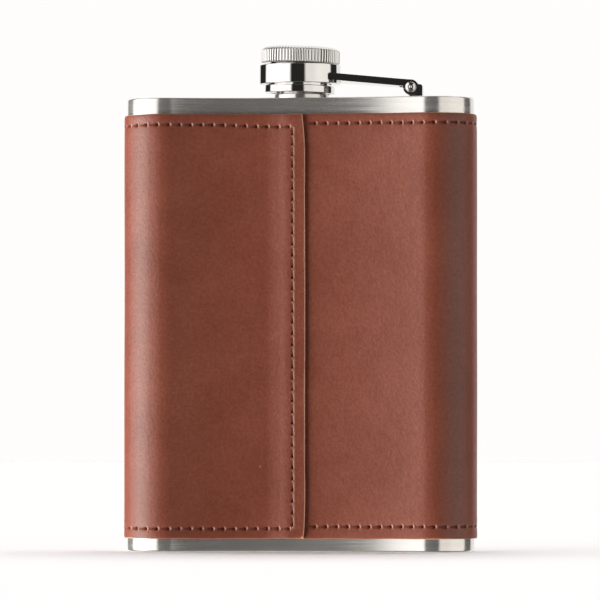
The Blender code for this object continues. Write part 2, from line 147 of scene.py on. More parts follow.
# Arm and hinge, from the pin's axis.
ARM_SLOPE = math.radians(4.9)
ARM_THICKNESS = 1.9 * MM
ARM_HALF_WIDTH = 4.6 * MM
ARM_STRAIGHT = 3.0 * MM
ARM_ROOT_ANGLE = math.radians(41.0)
ARM_WELD = 0.05 * MM
EYE_R = 2.1 * MM
NOTCH_HALF = 2.45 * MM
NOTCH_LENGTH = 3.5 * MM
PIN_BORE_R = 0.8 * MM
PIN_R = 0.7 * MM
PIN_HEAD_R = 1.5 * MM
LUG_HALF = 2.2 * MM
LUG_R = 1.9 * MM
LUG_LEFT = 0.2 * MM
LUG_RIGHT = 3.0 * MM
LUG_TURN = math.radians(235.0)
LUG_SHOULDER = 0.95 * MM
LUG_CORNER_R = 0.7 * MM
FOOT_HALF = 4.4 * MM
FOOT_THICKNESS = 0.5 * MM
EDGE = 0.10 * MM

# Meshes: where shading breaks, and what counts as the same place.
SMOOTH_DEGREES = 40.0
CARVED_SMOOTH_DEGREES = 35.0
BEVEL_DEGREES = 38.0
ON_AXIS = 1e-9
AXIS_WELD = 1e-7
OUTLINE_WELD = 0.002 * MM

# Camera and studio. Bearings are degrees seen from the flask: 0 towards the camera, + to its right.
# IN_MIRRORS is a light's level where a mirror shows it; ROOM_OFF_MIRRORS is the room's on matt faces.
CAMERA_YAW = 6.0
CAMERA_DISTANCE = 1.35
CAMERA_HEIGHT = 35.0 * MM
FRAME_WIDTH = 163.8 * MM
FRAME_CENTRE = (-0.27 * MM, 68.4 * MM)
KEY_STRENGTH = 16.3
KEY_IN_MIRRORS = 0.35
PANEL_STRENGTH = 4.7
PANEL_IN_MIRRORS = 1.0
ROOM_OFF_MIRRORS = 0.30
BLACK = (0.0, 0.0, 0.0)
WHITE = (1.0, 1.0, 1.0)
DARK = (0.022, 0.020, 0.018)
WARM = (0.90, 0.86, 0.80)
BRIGHT = (0.92, 0.91, 0.89)
BOX_EDGE = (1.28, 1.26, 1.23)
KEY_COLOUR = (1.0, 0.985, 0.96)
KEY_FILL = (0.24, 0.236, 0.23)
PANEL = (1.0, 0.995, 0.985)
OVERHEAD = (0.12, 0.117, 0.114)
GROUND = (0.10, 0.098, 0.095)
BACKDROP = (1.0, 0.985, 0.975)

# Looks: how metallic brushed steel is, the painted shade of leather down in its stitch holes, and raw leather
# at its cut edges, which also paints highlights on the ridges beside the stitches.
BRUSHED_METALLIC = 0.89
SHADED_LEATHER = (0.030, 0.002, 0.001)
RAW_LEATHER_AND_HIGHLIGHT = (0.52, 0.27, 0.18)


# -------------------- the body's section

def around(s):
    """Points and outward directions on the steel's outer face, by arc length from the back's middle."""
    s = np.mod(np.asarray(s, float), GIRTH)
    marks = np.cumsum([HALF_BACK, END_ARC, FRONT_ARC, END_ARC])
    back = np.where(s < marks[0], s, s - GIRTH) / BACK_R
    front = BEND_ANGLE - (s - marks[1]) / FRONT_R
    zone = np.searchsorted(marks, s, side="right")
    points = np.zeros(s.shape + (2,))
    aways = np.zeros(s.shape + (2,))
    for region, angle, radius, sign in ((0, back, BACK_R, -1), (2, front, FRONT_R, 1),
                                        (4, back, BACK_R, -1)):
        here = zone == region
        away = np.stack([np.sin(angle), np.cos(angle)], -1)
        points[here] = (away * radius)[here]
        aways[here] = (away * sign)[here]
    for region, side, start in ((1, 1, marks[0]), (3, -1, marks[2])):
        here = zone == region
        turn = (s - start) / HALF_THICKNESS
        if side < 0:
            turn = math.pi - turn
        spine = np.array([side * math.sin(BEND_ANGLE), math.cos(BEND_ANGLE)])
        across = np.array([side * math.cos(BEND_ANGLE), -math.sin(BEND_ANGLE)])
        away = -spine * np.cos(turn)[..., None] + across * np.sin(turn)[..., None]
        points[here] = (spine * BEND_R + away * HALF_THICKNESS)[here]
        aways[here] = away[here]
    points[..., 1] += SECTION_Y - BEND_R
    return points, aways


def on_body(s, offset, z):
    """World points at a distance outside the steel."""
    points, aways = around(s)
    spots = points + aways * np.asarray(offset)[..., None]
    return np.concatenate([spots, np.broadcast_to(z, spots.shape[:-1])[..., None]], -1)


def back_s(x):
    return BACK_R * math.asin(x / BACK_R)


# -------------------- mesh helpers

def smoothstep(low, high, value):
    t = np.clip((value - low) / (high - low), 0.0, 1.0)
    return t * t * (3 - 2 * t)


def bell(value, width):
    return np.exp(-(value / width) ** 2)


def placed(name, data):
    """A new object in the scene, holding a mesh, a curve or a camera."""
    obj = bpy.data.objects.new(name, data)
    bpy.context.scene.collection.objects.link(obj)
    return obj


def object_from(name, points, faces, smooth_degrees=SMOOTH_DEGREES, weld=0.0):
    mesh = bpy.data.meshes.new(name)
    mesh.from_pydata([tuple(p) for p in points], [], faces)
    obj = placed(name, mesh)
    tidy_mesh(obj, smooth_degrees, weld)
    return obj


def object_from_bm(name, bm):
    mesh = bpy.data.meshes.new(name)
    bm.to_mesh(mesh)
    bm.free()
    return placed(name, mesh)


def ring_faces(columns, count):
    """(k, m, quad) for each quad between a column's points k and m and the next column's, all round."""
    for i in range(columns):
        j = (i + 1) % columns
        for k in range(count):
            m = (k + 1) % count
            yield k, m, (i * count + k, j * count + k, j * count + m, i * count + m)


def tidy_mesh(obj, smooth_degrees, weld=0.0):
    bm = bmesh.new()
    bm.from_mesh(obj.data)
    if weld:
        bmesh.ops.remove_doubles(bm, verts=bm.verts, dist=weld)
    bmesh.ops.recalc_face_normals(bm, faces=bm.faces)
    bm.to_mesh(obj.data)
    bm.free()
    obj.data.shade_smooth()
    obj.data.set_sharp_from_angle(angle=math.radians(smooth_degrees))


def soften(points, radius, steps=4, closed=True):
    """Rounds each corner of an outline: the corner becomes a short curve of the given size."""
    result = []
    count = len(points)
    for i, corner in enumerate(points):
        here = Vector(corner)
        if not closed and i in (0, count - 1):
            result.append(tuple(here))
            continue
        before = Vector(points[i - 1]) - here
        after = Vector(points[(i + 1) % count]) - here
        start = here + before.normalized() * min(radius, before.length * 0.45)
        end = here + after.normalized() * min(radius, after.length * 0.45)
        for k in range(steps + 1):
            t = k / steps
            result.append(tuple(start * (1 - t) ** 2 + here * 2 * t * (1 - t) + end * t ** 2))
    return result


def lathe(name, profile, columns, shape=None, smooth_degrees=SMOOTH_DEGREES):
    """A closed turned body from (radius, height) points. shape gives each point's radius from its angle."""
    profile = np.array(profile)
    theta = np.linspace(0, 2 * math.pi, columns, endpoint=False)[:, None]
    radius = np.broadcast_to(profile[:, 0], (columns, len(profile))).copy()
    height = np.broadcast_to(profile[:, 1], radius.shape)
    if shape:
        radius = shape(np.broadcast_to(theta, radius.shape), radius, height)
    grid = np.stack([radius * np.cos(theta), radius * np.sin(theta), height], -1)
    faces = [quad for k, m, quad in ring_faces(columns, len(profile))
             if profile[k, 0] > ON_AXIS or profile[m, 0] > ON_AXIS]
    return object_from(name, grid.reshape(-1, 3), faces, smooth_degrees, weld=AXIS_WELD)


def flat_outline(name, loops, thickness):
    """A plate in XY, centred on z = 0."""
    curve = bpy.data.curves.new(name, "CURVE")
    curve.dimensions = "2D"
    curve.fill_mode = "BOTH"
    curve.extrude = thickness / 2
    for loop in loops:
        spline = curve.splines.new("POLY")
        spline.points.add(len(loop) - 1)
        spline.use_cyclic_u = True
        for point, (x, y) in zip(spline.points, loop):
            point.co = (x, y, 0.0, 1.0)
    return placed(name, curve)


def circle(radius, steps, centre=(0.0, 0.0), start=0.0, end=2 * math.pi):
    count = steps if end - start >= 2 * math.pi else steps + 1
    angles = [start + (end - start) * i / steps for i in range(count)]
    return [(centre[0] + radius * math.cos(a), centre[1] + radius * math.sin(a)) for a in angles]


def box(name, low, high, turn=0.0):
    """A box, turned about Y round the origin."""
    bm = bmesh.new()
    bmesh.ops.create_cube(bm, size=1.0)
    bmesh.ops.scale(bm, vec=Vector(high) - Vector(low), verts=bm.verts)
    bmesh.ops.translate(bm, vec=(Vector(high) + Vector(low)) / 2, verts=bm.verts)
    bmesh.ops.rotate(bm, verts=bm.verts, matrix=Matrix.Rotation(turn, 3, "Y"))
    return object_from_bm(name, bm)


def cylinder(name, radius, length, steps):
    """A cylinder along Y."""
    bm = bmesh.new()
    bmesh.ops.create_cone(bm, cap_ends=True, segments=steps, radius1=radius, radius2=radius, depth=length)
    bmesh.ops.rotate(bm, verts=bm.verts, matrix=Matrix.Rotation(math.pi / 2, 3, "X"))
    return object_from_bm(name, bm)


def baked(obj, remove=()):
    """The object with its modifiers and place made into a plain, welded mesh."""
    bpy.context.view_layer.update()
    graph = bpy.context.evaluated_depsgraph_get()
    mesh = bpy.data.meshes.new_from_object(obj.evaluated_get(graph))
    mesh.transform(obj.matrix_world)
    name = obj.name
    for old in (obj, *remove):
        bpy.data.objects.remove(old, do_unlink=True)
    return placed(name, mesh)


def carve(obj, tools):
    """Joins or cuts with each (tool, operation), then rounds the sharp edges."""
    for tool, operation in tools:
        step = obj.modifiers.new(tool.name, "BOOLEAN")
        step.operation = operation
        step.object = tool
        step.solver = "EXACT"
    obj = baked(obj, [tool for tool, _ in tools])
    tidy_mesh(obj, CARVED_SMOOTH_DEGREES, weld=0.004 * MM)
    edge = obj.modifiers.new("rounded_edges", "BEVEL")
    edge.width = EDGE
    edge.segments = 3
    edge.limit_method = "ANGLE"
    edge.angle_limit = math.radians(BEVEL_DEGREES)
    edge.harden_normals = True
    return baked(obj)


# -------------------- materials

class Nodes:
    """Short calls for building a node tree. A value is a number, a colour or another node's output."""

    def __init__(self, tree):
        self.tree = tree

    def node(self, kind, **settings):
        made = self.tree.nodes.new(kind)
        for key, value in settings.items():
            setattr(made, key, value)
        return made

    def feed(self, socket, value):
        if isinstance(value, (int, float)):
            socket.default_value = value
        elif isinstance(value, tuple):
            socket.default_value = (*value, 1.0)[:len(socket.default_value)]
        else:
            self.tree.links.new(value, socket)

    def range(self, value, low, high, new_low=0.0, new_high=1.0):
        made = self.node("ShaderNodeMapRange")
        for socket, number in (("Value", value), ("From Min", low), ("From Max", high),
                               ("To Min", new_low), ("To Max", new_high)):
            self.feed(made.inputs[socket], number)
        return made.outputs["Result"]

    def math(self, operation, first, second=0.0):
        made = self.node("ShaderNodeMath", operation=operation)
        for socket, value in zip(made.inputs, (first, second)):
            self.feed(socket, value)
        return made.outputs[0]

    def ramp(self, value, stops):
        made = self.node("ShaderNodeValToRGB")
        elements = made.color_ramp.elements
        while len(elements) < len(stops):
            elements.new(0.5)
        for element, (position, colour) in zip(elements, stops):
            element.position = position
            element.color = (*colour, 1.0)
        self.feed(made.inputs["Fac"], value)
        return made.outputs["Color"]

    def mix(self, share, first, second, blend_type="MIX"):
        made = self.node("ShaderNodeMix", data_type="RGBA", blend_type=blend_type)
        self.feed(made.inputs["Factor"], share)
        colours = [socket for socket in made.inputs if socket.type == "RGBA"]
        for socket, value in zip(colours, (first, second)):
            self.feed(socket, value)
        return next(socket for socket in made.outputs if socket.type == "RGBA")


class Painter(Nodes):
    """The node tree of one new material."""

    def __init__(self, name):
        self.material = bpy.data.materials.new(name)
        self.material.use_nodes = True
        super().__init__(self.material.node_tree)
        self.shader = self.tree.nodes["Principled BSDF"]

    def coords(self, stretch=(1, 1, 1), source="Object"):
        made = self.node("ShaderNodeMapping")
        made.inputs["Scale"].default_value = stretch
        self.feed(made.inputs["Vector"], self.node("ShaderNodeTexCoord").outputs[source])
        return made.outputs["Vector"]

    def attribute(self, name):
        return self.node("ShaderNodeAttribute", attribute_name=name).outputs["Fac"]

    def noise(self, vector, scale, detail=3.0, roughness=0.5, distortion=0.0):
        made = self.node("ShaderNodeTexNoise")
        for socket, value in (("Vector", vector), ("Scale", scale), ("Detail", detail),
                              ("Roughness", roughness), ("Distortion", distortion)):
            self.feed(made.inputs[socket], value)
        return made.outputs["Fac"]

    def cells(self, vector, scale):
        made = self.node("ShaderNodeTexVoronoi", feature="SMOOTH_F1")
        self.feed(made.inputs["Scale"], scale)
        self.feed(made.inputs["Vector"], vector)
        return made.outputs["Distance"]

    def bump(self, height, distance, strength, base=None):
        made = self.node("ShaderNodeBump")
        self.feed(made.inputs["Strength"], strength)
        self.feed(made.inputs["Distance"], distance)
        self.feed(made.inputs["Height"], height)
        if base:
            self.feed(made.inputs["Normal"], base)
        return made.outputs["Normal"]

    def finish(self, colour, roughness, normal=None, **numbers):
        """Joins up the shader. numbers are its other sockets, with _ for each space."""
        self.feed(self.shader.inputs["Base Color"], colour)
        self.feed(self.shader.inputs["Roughness"], roughness)
        if normal:
            self.feed(self.shader.inputs["Normal"], normal)
        for name, value in numbers.items():
            self.feed(self.shader.inputs[name.replace("_", " ")], value)
        return self.material


def steel_material(name, stretch, source="Object"):
    """Stainless steel with fine brushing along the direction that stretch leaves long."""
    paint = Painter(name)
    where = paint.coords(stretch, source)
    fine = paint.noise(where, 5.0, roughness=0.55)
    broad = paint.noise(where, 1.7)
    smudge = paint.noise(paint.coords(), 90.0, detail=4.0)
    colour = paint.ramp(fine, [(0.25, (0.72, 0.70, 0.675)), (0.75, (0.82, 0.80, 0.775))])
    rough = paint.range(broad, 0.3, 0.7, 0.09, 0.18)
    for marks in (fine, smudge):
        rough = paint.math("ADD", rough, paint.range(marks, 0.3, 0.7, -0.02, 0.04))
    normal = paint.bump(fine, 0.003 * MM, 0.4)
    normal = paint.bump(broad, 0.004 * MM, 0.4, normal)
    return paint.finish(colour, rough, normal, Metallic=BRUSHED_METALLIC)


def chrome_material():
    """Bright plating over turned metal, with the faintest waviness and handling marks."""
    paint = Painter("polished_chrome")
    swirl = paint.noise(paint.coords(), 260.0)
    marks = paint.noise(paint.coords((1, 1, 6)), 900.0, detail=5.0, roughness=0.7)
    colour = paint.ramp(swirl, [(0.3, (0.80, 0.79, 0.775)), (0.7, (0.86, 0.85, 0.84))])
    rough = paint.range(marks, 0.35, 0.75, 0.035, 0.085)
    normal = paint.bump(swirl, 0.004 * MM, 0.5)
    return paint.finish(colour, rough, normal, Metallic=1.0)


def leather_material():
    """Smooth chestnut leather: fine pores, soft mottling, painted shade in the needle holes, pale cut edges
    and painted highlights on the ridges beside the stitches.
    """
    paint = Painter("chestnut_leather")
    where = paint.coords()
    mottle = paint.noise(where, 55.0, detail=4.0, roughness=0.55, distortion=0.6)
    grain = paint.noise(where, 520.0, detail=5.0, roughness=0.6)
    pebble = paint.cells(where, 1500.0)
    crease = paint.noise(paint.coords((1, 1, 0.45)), 260.0, detail=4.0, roughness=0.6, distortion=1.2)
    colour = paint.ramp(mottle, [(0.30, (0.109, 0.0270, 0.0145)), (0.52, (0.123, 0.0312, 0.0172)),
                                 (0.74, (0.137, 0.0358, 0.0200))])
    speckle = paint.range(pebble, 0.15, 0.55, 0.93, 1.06)
    colour = paint.mix(1.0, colour, speckle, "MULTIPLY")
    pores = paint.range(paint.noise(where, 1100.0, detail=4.0, roughness=0.7), 0.30, 0.70, 0.84, 1.14)
    colour = paint.mix(1.0, colour, pores, "MULTIPLY")
    # Painted shade in the stitch holes and the thread beds.
    colour = paint.mix(paint.attribute("stitch_shade"), colour, SHADED_LEATHER)
    # Raw leather at the cut edges, and the same colour as a painted highlight on the ridges beside the
    # stitches.
    colour = paint.mix(paint.attribute("raw_edge_and_highlight"), colour, RAW_LEATHER_AND_HIGHLIGHT)
    rough = paint.math("ADD", paint.range(grain, 0.3, 0.7, 0.36, 0.46),
                       paint.range(mottle, 0.3, 0.7, -0.02, 0.03))
    normal = paint.bump(crease, 0.10 * MM, 0.5)
    normal = paint.bump(pebble, 0.060 * MM, 0.6, normal)
    normal = paint.bump(grain, 0.060 * MM, 0.5, normal)
    return paint.finish(colour, rough, normal, Specular_IOR_Level=0.31)


def thread_material():
    """Waxed dark red-brown sewing thread."""
    paint = Painter("waxed_thread")
    where = paint.coords()
    fibre = paint.noise(where, 4200.0, detail=4.0)
    shade = paint.noise(where, 160.0, detail=2.0)
    colour = paint.ramp(shade, [(0.3, (0.082, 0.015, 0.009)), (0.7, (0.118, 0.026, 0.015))])
    rough = paint.range(fibre, 0.3, 0.7, 0.45, 0.62)
    return paint.finish(colour, rough, paint.bump(fibre, 0.03 * MM, 0.6), Specular_IOR_Level=0.15)


def adhesive_material():
    """Dried contact cement, amber and slightly uneven."""
    paint = Painter("contact_adhesive")
    blotch = paint.noise(paint.coords(), 300.0, detail=4.0)
    colour = paint.ramp(blotch, [(0.3, (0.50, 0.38, 0.20)), (0.7, (0.66, 0.54, 0.33))])
    rough = paint.range(blotch, 0.3, 0.7, 0.4, 0.6)
    return paint.finish(colour, rough, paint.bump(blotch, 0.03 * MM, 0.5))


def silicone_material():
    """Milky moulded silicone with a matte, slightly dusty face."""
    paint = Painter("moulded_silicone")
    haze = paint.noise(paint.coords(), 420.0, detail=4.0)
    colour = paint.ramp(haze, [(0.3, (0.74, 0.73, 0.69)), (0.7, (0.83, 0.82, 0.79))])
    rough = paint.range(haze, 0.3, 0.7, 0.42, 0.58)
    return paint.finish(colour, rough, paint.bump(haze, 0.01 * MM, 0.5), Subsurface_Weight=0.15,
                        Subsurface_Scale=0.0015)


def dress(obj, look, body, node):
    """Gives a piece its material and slot, sets it on its body and lets it stand for its CAD node."""
    obj.data.materials.clear()
    obj.data.materials.append(look)
    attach(obj, body)
    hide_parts(node)


def carry_over(node, look):
    """A CAD node whose shape is right keeps its mesh and gets a full material."""
    materials = frame["nodes"][node].data.materials
    materials.clear()
    materials.append(look)


# -------------------- steel vessel

def steel_shell():
    """The drawn sheet: rounded rims, walls rolled in a little near them, and a low weld bead inside."""
    roll = 0.035 * MM
    low = [(-RIM_R * (1 - math.sin(a)), RIM_R * (1 - math.cos(a))) for a in np.linspace(0, math.pi / 2, 6)]
    rise = [(-roll * (1 - smoothstep(RIM_R, 2.0 * MM, z)), z) for z in np.linspace(RIM_R, 2.4 * MM, 7)[1:]]
    fall = [(offset, TOP - z) for offset, z in reversed(rise)]
    high = [(offset, TOP - z) for offset, z in reversed(low)]
    low = [(offset - roll, z) for offset, z in low]
    high = [(offset - roll, z) for offset, z in high]
    seam = SHEET + 0.11 * MM
    top_bead = [(-SHEET + 0.06 * MM, TOP), (-SHEET - 0.02 * MM, TOP - 0.04 * MM), (-seam, TOP - 0.035 * MM),
                (-seam, TOP - 0.5 * MM), (-SHEET, TOP - 0.62 * MM)]
    bottom_bead = [(offset, TOP - z) for offset, z in reversed(top_bead)]
    section = low + rise + fall + high + top_bead + bottom_bead
    section = [point for i, point in enumerate(section) if i == 0 or point != section[i - 1]]
    stations = 480
    s = np.linspace(0, GIRTH, stations, endpoint=False)
    offsets = np.array([offset for offset, _ in section])
    heights = np.array([z for _, z in section])
    grid = on_body(np.repeat(s[:, None], len(section), 1), np.tile(offsets, (stations, 1)),
                   np.tile(heights, (stations, 1)))
    faces = [quad for _, _, quad in ring_faces(stations, len(section))]
    obj = object_from("steel_shell", grid.reshape(-1, 3), faces, 50.0)
    uv = obj.data.uv_layers.new(name="sweep")
    around_s = np.repeat(s, len(section))
    up_z = np.tile(heights, stations)
    loops = np.zeros(len(obj.data.loops), np.int64)
    obj.data.loops.foreach_get("vertex_index", loops)
    uv.data.foreach_set("uv", np.stack([around_s[loops], up_z[loops]], -1).astype(np.float32).ravel())
    dress(obj, STEEL_SIDE, "flask", "body_shell")


def screw_ridge(theta, z, start, end):
    """0 in the thread's root, 1 on its crest, running out at both ends."""
    turned = theta / (2 * math.pi)
    phase = np.mod(z / THREAD_PITCH - turned, 1.0)
    ridge = smoothstep(0.12, 0.34, phase) * (1 - smoothstep(0.60, 0.82, phase))
    turn = (z - start) / THREAD_PITCH - turned
    left = (end - z) / THREAD_PITCH + turned - 1
    return ridge * smoothstep(0.0, 0.4, turn + 0.5) * smoothstep(0.0, 0.4, left + 0.8)


def on_thread(radius, z, root, low, high):
    """1 where a point of a turned profile belongs to its threaded wall, 0 elsewhere."""
    return (np.abs(radius - root) < ON_AXIS) & (z <= high + ON_AXIS) & (z >= low - ON_AXIS)


def screw_neck():
    outside = [(NECK_ROOT_R - 0.35 * MM, NECK_TOP), (NECK_ROOT_R, NECK_TOP - 0.3 * MM)]
    z_top = NECK_TOP - 0.5 * MM
    z_low = BOSS_TOP + 0.25 * MM
    threads = [(NECK_ROOT_R, z) for z in np.linspace(z_top, z_low, 62)]
    boss = soften([(NECK_ROOT_R, BOSS_TOP), (BOSS_R, BOSS_TOP), (BOSS_R, PLATE_GAP)], 0.28 * MM, closed=False)
    bevel = 0.25 * MM
    inside = [(SPIGOT_R, PLATE_GAP), (SPIGOT_R, SPIGOT_BOTTOM), (NECK_BORE_R, SPIGOT_BOTTOM),
              (NECK_BORE_R, NECK_TOP - bevel), (NECK_BORE_R + bevel, NECK_TOP)]

    def shape(theta, radius, z):
        ridge = screw_ridge(theta, z, z_low, z_top) * on_thread(radius, z, NECK_ROOT_R, z_low, z_top)
        return radius + ridge * (NECK_R - NECK_ROOT_R)

    obj = lathe("screw_neck", outside + threads + boss + inside, 128, shape)
    obj.location = (0, SECTION_Y, TOP)
    dress(obj, STEEL_TURNED, "flask", "neck")


# -------------------- screw cap

def cap_matrix():
    """From the cap's own axis, with heights from the top plate, to the world."""
    lean = math.atan2(CAP_DIRECTION.x, CAP_DIRECTION.z)
    return (Matrix.Translation(CAP_CENTRE) @ Matrix.Rotation(lean, 4, "Y")
            @ Matrix.Translation((0, 0, -LEAN_HEIGHT)))


def dress_cap(obj, look, node):
    """Sets a piece made on the cap's own axis in place and dresses it."""
    obj.data.transform(cap_matrix())
    dress(obj, look, "cap", node)


def knurled_head():
    """The grip: a shallow dished top, a chamfer that runs the teeth out, and a bevelled underside."""
    dish = [(0.0, 0.12), (3.0, 0.11), (6.0, 0.07), (8.2, 0.015)]
    chamfer = [(9.1, 0.0), (9.75, 0.16), (10.22, 0.5), (10.52, 0.78), (HEAD_R / MM, 1.05)]
    crown = [(radius * MM, HEAD_TOP - drop * MM) for radius, drop in dish + chamfer]
    side = [(HEAD_R, z) for z in np.linspace(HEAD_TOP - 1.2 * MM, HEAD_BOTTOM + 0.42 * MM, 8)]
    foot = [(HEAD_R - 0.14 * MM, HEAD_BOTTOM + 0.22 * MM), (10.3 * MM, HEAD_BOTTOM + 0.03 * MM),
            (10.1 * MM, HEAD_BOTTOM), (SOCKET_R + 0.1 * MM, HEAD_BOTTOM), (SOCKET_R, HEAD_BOTTOM + 0.1 * MM)]
    socket = [(SOCKET_R, BARREL_TOP + 0.1 * MM), (0.0, BARREL_TOP + 0.1 * MM)]

    def shape(theta, radius, z):
        groove = np.abs(np.sin(theta * TEETH / 2)) ** 7
        reach = smoothstep(9.95 * MM, HEAD_R - 0.05 * MM, radius)
        return radius - TOOTH_DEPTH * groove * reach

    obj = lathe("knurled_cap_head", crown + side + foot + socket, TEETH * 8, shape, 50.0)
    dress_cap(obj, CHROME, "cap_head")


def threaded_barrel():
    outer = [(0.0, BARREL_TOP), (BARREL_R, BARREL_TOP), (BARREL_R, BARREL_BOTTOM),
             (BARREL_BORE_R, BARREL_BOTTOM)]
    outer = soften(outer, 0.2 * MM, closed=False)
    z_low = BARREL_BOTTOM + 0.7 * MM
    z_top = BARREL_CEILING - 2.2 * MM
    bore = [(BARREL_BORE_R, z) for z in np.linspace(z_low, z_top, 52)]
    ceiling = [(BARREL_BORE_R, BARREL_CEILING - 0.2 * MM), (BARREL_BORE_R - 0.2 * MM, BARREL_CEILING),
               (0.0, BARREL_CEILING)]

    def shape(theta, radius, z):
        ridge = screw_ridge(theta, z + THREAD_PITCH / 2, z_low, z_top)
        return radius - ridge * on_thread(radius, z, BARREL_BORE_R, z_low, z_top) * BARREL_RIDGE

    obj = lathe("threaded_cap_barrel", outer + bore + ceiling, 128, shape)
    dress_cap(obj, CHROME, "cap_barrel")


def retaining_ring():
    profile = [(SOCKET_R, RING_TOP), (RING_R, RING_TOP), (RING_R, RING_BOTTOM), (SOCKET_R, RING_BOTTOM)]
    obj = lathe("swaged_retaining_ring", soften(profile, 0.28 * MM, 5), 160)
    dress_cap(obj, CHROME, "cap_retaining_ring")


def sealing_disc():
    """The liner, with the ring that the neck's lip presses into it."""
    top = BARREL_CEILING - 0.12 * MM
    low = top - GASKET_THICKNESS
    rim = [(0.0, top), (GASKET_R - 0.15 * MM, top), (GASKET_R, top - 0.15 * MM), (GASKET_R, low + 0.2 * MM),
           (GASKET_R - 0.2 * MM, low)]
    pressed = [(6.2, 0.0), (6.0, 0.10), (5.5, 0.14), (5.1, 0.08), (4.9, 0.0), (0.0, 0.0)]
    pressed = [(radius * MM, low + depth * MM) for radius, depth in pressed]
    obj = lathe("sealing_disc", rim + pressed, 96)
    dress_cap(obj, SILICONE, "cap_gasket")


# -------------------- captive collar, arm and hinge

def captive_collar():
    profile = [(COLLAR_BORE_R, COLLAR_TOP), (COLLAR_R, COLLAR_TOP), (COLLAR_R, COLLAR_BOTTOM),
               (COLLAR_BORE_R, COLLAR_BOTTOM)]
    obj = lathe("captive_collar", soften(profile, 0.22 * MM, 5), 192)
    obj.data.transform(Matrix.Translation((CAP_CENTRE.x, SECTION_Y, TOP)))
    dress(obj, CHROME, "arm", "collar_ring")


def hinged_arm():
    """A flat strip, hollowed to the collar, notched at the hinge and curled into two eyes round the pin."""
    centre = (CAP_CENTRE.x - PIN_AXIS.x, 0.0)
    root = circle(COLLAR_R + ARM_WELD, 24, centre, -ARM_ROOT_ANGLE, ARM_ROOT_ANGLE)
    tip = [(-ARM_STRAIGHT, ARM_HALF_WIDTH), (0.0, ARM_HALF_WIDTH), (0.0, -ARM_HALF_WIDTH),
           (-ARM_STRAIGHT, -ARM_HALF_WIDTH)]
    strip = flat_outline("hinged_arm", [root + tip], ARM_THICKNESS)
    step = 0.04 * MM
    strip.location.z = EYE_R - step - ARM_THICKNESS / 2
    strip = baked(strip)
    tidy_mesh(strip, CARVED_SMOOTH_DEGREES, OUTLINE_WELD)
    reach = 2 * EYE_R
    lip = 0.09 * MM
    tools = [
        (cylinder("eye", EYE_R, 2 * (ARM_HALF_WIDTH - step), 72), "UNION"),
        (box("notch", (-NOTCH_LENGTH, -NOTCH_HALF, -reach), (reach, NOTCH_HALF, reach)), "DIFFERENCE"),
        (cylinder("bore", PIN_BORE_R, 4 * ARM_HALF_WIDTH, 36), "DIFFERENCE"),
        (box("curl_gap", (-reach, -2 * ARM_HALF_WIDTH, -lip / 2), (0, 2 * ARM_HALF_WIDTH, lip / 2),
             turn=math.radians(-16.0)), "DIFFERENCE"),
    ]
    obj = carve(strip, tools)
    obj.data.transform(Matrix.Translation(PIN_AXIS) @ Matrix.Rotation(ARM_SLOPE, 4, "Y"))
    dress(obj, CHROME, "arm", "collar_arm")


def hinge_lug():
    """The bracket: a round-topped knuckle on a small foot that is welded to the plate."""
    low = TOP + PLATE_GAP / 2 - PIN_AXIS.z
    r = LUG_CORNER_R
    start = math.asin(LUG_SHOULDER / LUG_R)
    corner = circle(r, 10, (LUG_RIGHT - r, LUG_SHOULDER - r), 0.0, math.pi / 2)
    crown = circle(LUG_R, 48, (0.0, 0.0), start, LUG_TURN)
    blank = flat_outline("hinge_lug", [[(LUG_LEFT, low), (LUG_RIGHT, low)] + corner + crown], 2 * LUG_HALF)
    blank.rotation_euler.x = math.pi / 2
    blank = baked(blank)
    tidy_mesh(blank, CARVED_SMOOTH_DEGREES, OUTLINE_WELD)
    inset = 0.08 * MM
    tools = [
        (box("foot", (LUG_LEFT - inset, -FOOT_HALF, low - 0.01 * MM),
             (LUG_RIGHT + inset, FOOT_HALF, low + FOOT_THICKNESS)), "UNION"),
        (cylinder("bore", PIN_BORE_R, 4 * LUG_HALF, 36), "DIFFERENCE"),
    ]
    obj = carve(blank, tools)
    obj.data.transform(Matrix.Translation(PIN_AXIS))
    dress(obj, CHROME, "flask", "hinge_bracket")


def riveted_pin():
    seat = ARM_HALF_WIDTH + 0.06 * MM
    height = PIN_TIP_Y - SECTION_Y - seat
    button = [(0.62 * PIN_R * math.sin(a), seat + height * (0.72 + 0.28 * math.cos(a)))
              for a in np.linspace(0, math.pi / 2, 7)]
    groove = [(0.75 * PIN_R, seat + 0.60 * height), (PIN_R, seat + 0.60 * height)]
    rim = [(1.15 * PIN_R, seat + 0.74 * height), (0.86 * PIN_HEAD_R, seat + 0.62 * height),
           (0.97 * PIN_HEAD_R, seat + 0.36 * height), (PIN_HEAD_R, seat + 0.12 * height)]
    upper = button + groove + rim + [(PIN_HEAD_R - 0.05 * MM, seat), (PIN_R, seat)]
    lower = [(r, -z) for r, z in reversed(upper)]
    obj = lathe("riveted_pin", upper + lower, 64)
    obj.data.transform(Matrix.Translation(PIN_AXIS) @ Matrix.Rotation(-math.pi / 2, 4, "X"))
    dress(obj, CHROME, "flask", "hinge_pin")


# -------------------- leather and sewing

LINE_START = back_s(LINE_START_X)
SEAM_S = GIRTH + back_s(SEAM_X)
LIFT_START = GIRTH + back_s(LIFT_START_X)
LIFT_END = GIRTH + back_s(LIFT_END_X)
LAP_EDGE = GIRTH + back_s(LAP_EDGE_X)
HIDDEN_EDGE = back_s(HIDDEN_EDGE_X)
LINE_COUNT = round((SEAM_S - LINE_START) / PITCH)
LINE_PITCH = (SEAM_S - LINE_START) / LINE_COUNT
SEAM_COUNT = round((TOP_LINE - BOTTOM_LINE) / PITCH)
SEAM_PITCH = (TOP_LINE - BOTTOM_LINE) / SEAM_COUNT


def hat(v, centre, above, below):
    """1 at a height, falling smoothly to 0 above and below it."""
    return smoothstep(centre - below, centre, v) * (1 - smoothstep(centre, centre + above, v))


